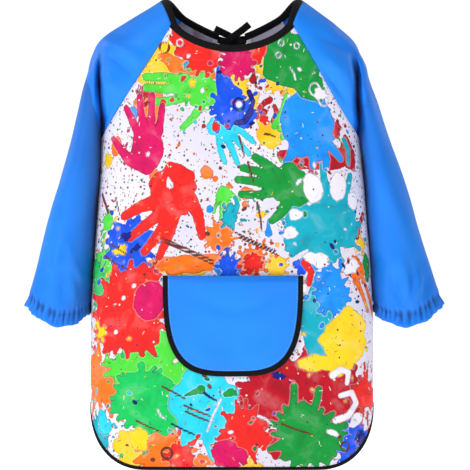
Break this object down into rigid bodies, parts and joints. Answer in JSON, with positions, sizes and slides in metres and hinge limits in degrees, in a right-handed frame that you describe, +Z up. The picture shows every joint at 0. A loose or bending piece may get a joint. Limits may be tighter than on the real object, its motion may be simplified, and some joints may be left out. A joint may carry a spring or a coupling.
{
  "type": "artist smock apron",
  "caption": "Child's long-sleeved art smock with printed body, raglan sleeves, elastic cuffs, front pouch pocket and an open back tied at the neck.",
  "frame": {"origin": "middle of the neck opening, where the smock hangs on the wearer", "axes": "+Z up, +X to the right as seen from the front, front towards -Y"},
  "size_m": [0.5386, 0.145, 0.6114],
  "materials": {
    "printed_cloth": "coated woven polyester with an all-over paint-splash print",
    "sleeve_cloth": "smooth plain-woven azure polyester with a slight sheen",
    "black_binding": "matt black bias binding",
    "tie_tape": "matt black folded tape",
    "cuff_elastic": "braided white elastic",
    "white_tab": "blank white woven tab"
  },
  "bodies": {
    "torso": {"front_panel": "printed_cloth", "front_hem_binding": "black_binding", "neck_binding": "black_binding", "pocket_panel": "sleeve_cloth", "pocket_binding": "black_binding", "pocket_tab": "white_tab", "left_back_panel": "printed_cloth", "left_back_hem_binding": "black_binding", "right_back_panel": "printed_cloth", "right_back_hem_binding": "black_binding", "left_sleeve_shoulder": "sleeve_cloth", "right_sleeve_shoulder": "sleeve_cloth"},
    "left_arm": {"left_sleeve_arm": "sleeve_cloth", "left_cuff_casing": "sleeve_cloth", "left_cuff_elastic": "cuff_elastic"},
    "right_arm": {"right_sleeve_arm": "sleeve_cloth", "right_cuff_casing": "sleeve_cloth", "right_cuff_elastic": "cuff_elastic"},
    "left_back_half": {"left_back_flap": "printed_cloth", "left_flap_hem_binding": "black_binding", "left_flap_neck_binding": "black_binding", "left_neck_tie": "tie_tape"},
    "right_back_half": {"right_back_flap": "printed_cloth", "right_flap_hem_binding": "black_binding", "right_flap_neck_binding": "black_binding", "right_neck_tie": "tie_tape", "neck_tie_knot": "tie_tape"}
  },
  "joints": [
    {"name": "left_sleeve_raise", "type": "hinge", "parent": "torso", "child": "left_arm", "pos_m": [-0.172, 0, -0.029], "axis": [0, 1, 0], "range_deg": [0, 70]},
    {"name": "right_sleeve_raise", "type": "hinge", "parent": "torso", "child": "right_arm", "pos_m": [0.172, 0, -0.029], "axis": [0, -1, 0], "range_deg": [0, 70]},
    {"name": "left_back_open", "type": "hinge", "parent": "torso", "child": "left_back_half", "pos_m": [-0.0707, 0.063, -0.585], "axis": [0.0111, -0.0115, 0.9999], "range_deg": [0, 100]},
    {"name": "right_back_open", "type": "hinge", "parent": "torso", "child": "right_back_half", "pos_m": [0.0707, 0.063, -0.585], "axis": [0.0111, 0.0115, -0.9999], "range_deg": [0, 100]}
  ]
}
